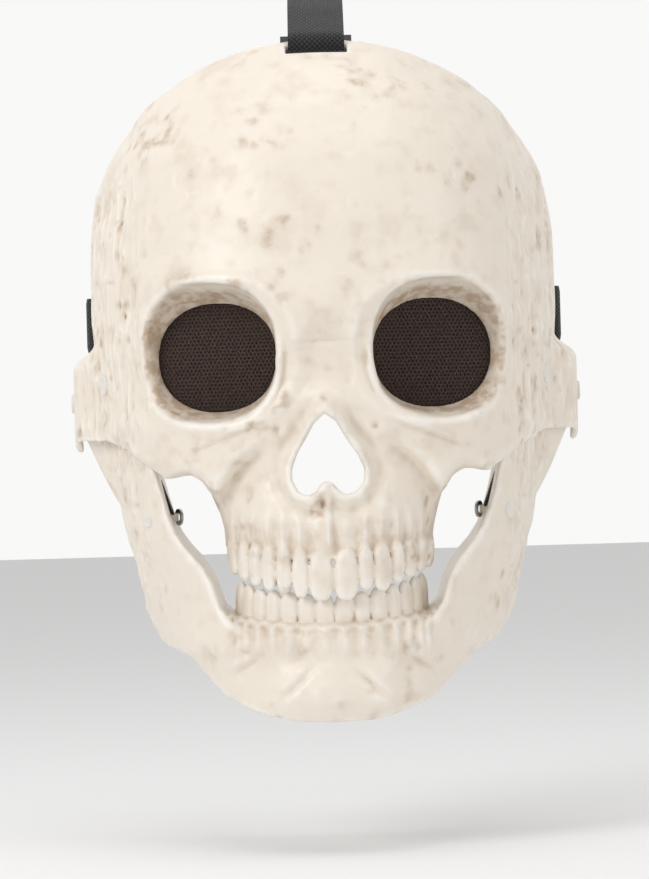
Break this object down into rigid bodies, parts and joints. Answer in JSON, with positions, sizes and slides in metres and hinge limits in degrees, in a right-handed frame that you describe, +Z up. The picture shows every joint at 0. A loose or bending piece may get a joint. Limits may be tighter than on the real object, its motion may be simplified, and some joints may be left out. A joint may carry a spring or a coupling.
{
  "type": "skull face mask",
  "caption": "Rigid skull face mask with a sprung hinged jaw, mesh-backed eye sockets and adjustable webbing head straps.",
  "frame": {"origin": "middle of the jaw's hinge line, which is also the middle of the wearer's head between the ears", "axes": "+Z up, -Y the way the face looks, +X to the wearer's left; +Y points from the face into the wearer's head"},
  "size_m": [0.188, 0.2091, 0.2606],
  "materials": {
    "bone_plastic": "semi-gloss cream plastic, stained tan in its hollows",
    "eye_knit": "black-brown open knit",
    "rivet_white": "satin off-white paint",
    "washer_steel": "plain zinc",
    "washer_nylon": "natural nylon",
    "black_webbing": "ribbed polyester webbing",
    "hook_and_loop": "brushed hook and loop tape",
    "slider_plastic": "satin black acetal",
    "black_elastic": "braided elastic",
    "grey_foam": "soft charcoal foam"
  },
  "bodies": {
    "skull": {"upper_skull": "bone_plastic", "eye_mesh_left": "eye_knit", "eye_mesh_right": "eye_knit", "forehead_pad": "grey_foam", "cheek_pad_left": "grey_foam", "cheek_pad_right": "grey_foam", "crown_strap": "black_webbing", "side_strap_right": "black_webbing", "loop_patch": "hook_and_loop", "pivot_rivet_left": "rivet_white", "pivot_washer_left": "washer_nylon", "pivot_cap_left": "washer_steel", "upper_anchor_rivet_left": "rivet_white", "upper_anchor_washer_left": "washer_steel", "return_elastic_left": "black_elastic", "pivot_rivet_right": "rivet_white", "pivot_washer_right": "washer_nylon", "pivot_cap_right": "washer_steel", "upper_anchor_rivet_right": "rivet_white", "upper_anchor_washer_right": "washer_steel", "return_elastic_right": "black_elastic"},
    "jaw": {"lower_jaw": "bone_plastic", "chin_pad": "grey_foam", "jaw_anchor_rivet_left": "rivet_white", "jaw_anchor_washer_left": "washer_steel", "jaw_anchor_rivet_right": "rivet_white", "jaw_anchor_washer_right": "washer_steel"},
    "left_strap": {"side_strap_left": "black_webbing", "hook_patch": "hook_and_loop"},
    "slider": {"crown_slider": "slider_plastic"}
  },
  "joints": [
    {"name": "jaw_hinge", "type": "hinge", "parent": "skull", "child": "jaw", "pos_m": [0, 0, 0], "axis": [1, 0, 0], "range_deg": [0, 18], "stiffness_Nm_per_rad": 0.35, "springref_deg": -20.05, "deforming": ["return_elastic_left", "return_elastic_right"]},
    {"name": "strap_opening", "type": "hinge", "parent": "skull", "child": "left_strap", "pos_m": [0.0844, 0.0072, 0.029], "axis": [0, 0, -1], "range_deg": [0, 35]},
    {"name": "slider_travel", "type": "hinge", "parent": "skull", "child": "slider", "pos_m": [0, 0, 0.0435], "axis": [1, 0, 0], "range_deg": [-12, 12]}
  ]
}
